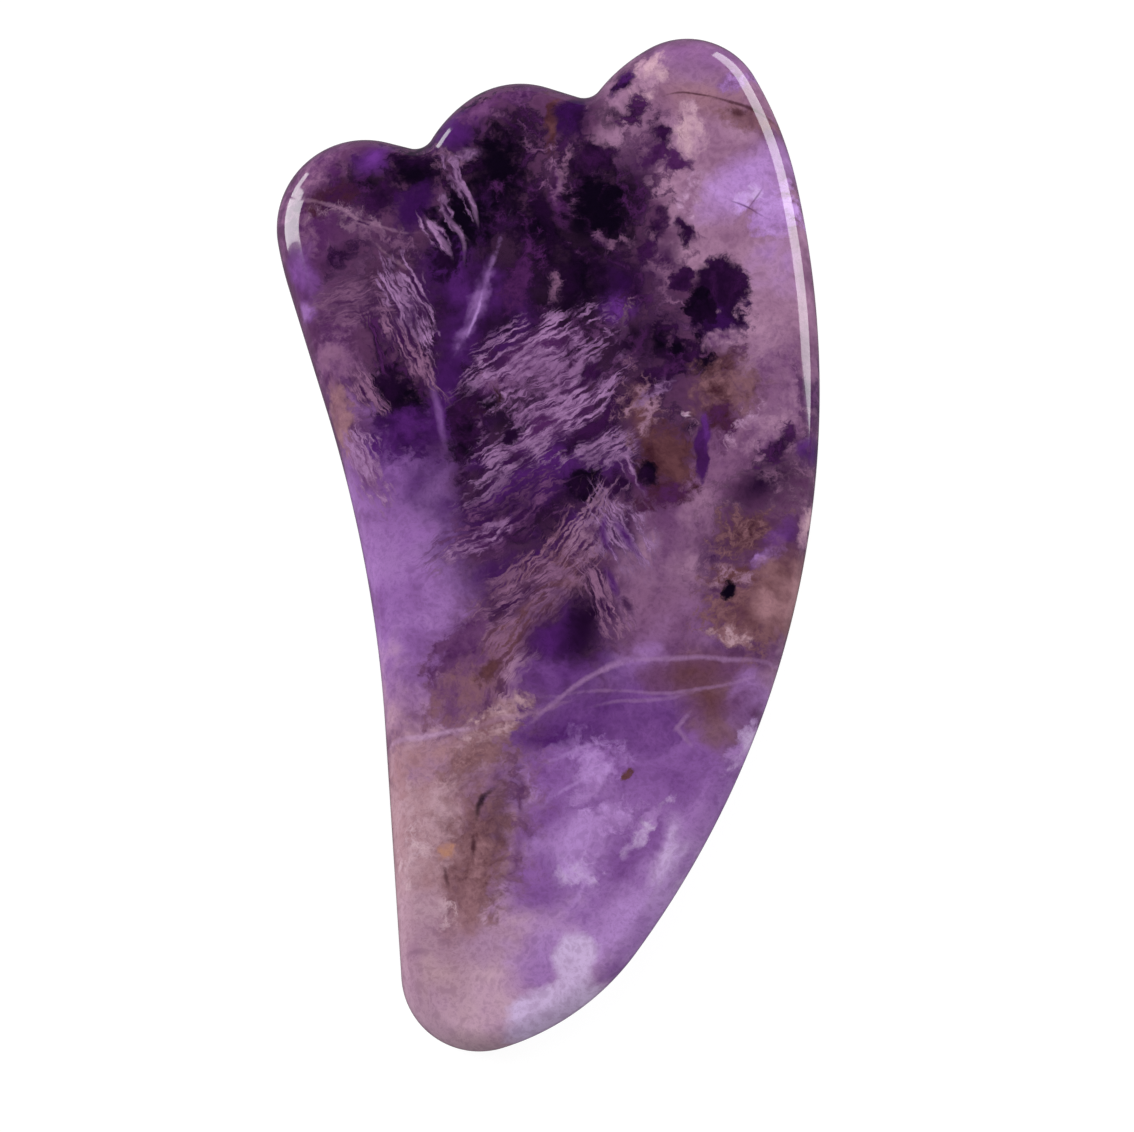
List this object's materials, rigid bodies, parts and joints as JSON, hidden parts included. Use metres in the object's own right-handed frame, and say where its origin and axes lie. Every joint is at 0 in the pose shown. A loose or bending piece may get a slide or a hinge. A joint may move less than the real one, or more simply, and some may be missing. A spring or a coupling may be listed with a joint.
{
  "type": "gua sha scraper",
  "caption": "Flat polished amethyst massage plate with a scalloped end, a hollow side, a long bulging side and a rounded tip, all edges ground round.",
  "frame": {"origin": "middle of the plate's bounding box, on its flat back face", "axes": "+Z is the thickness, out of the front face; +Y runs along the plate from the rounded tip to the scalloped end; -X is the hollow side and +X the long bulging side"},
  "size_m": [0.0596, 0.11, 0.0065],
  "materials": {
    "amethyst": "polished"
  },
  "bodies": {
    "root": {"scraper_stone": "amethyst"}
  },
  "joints": []
}
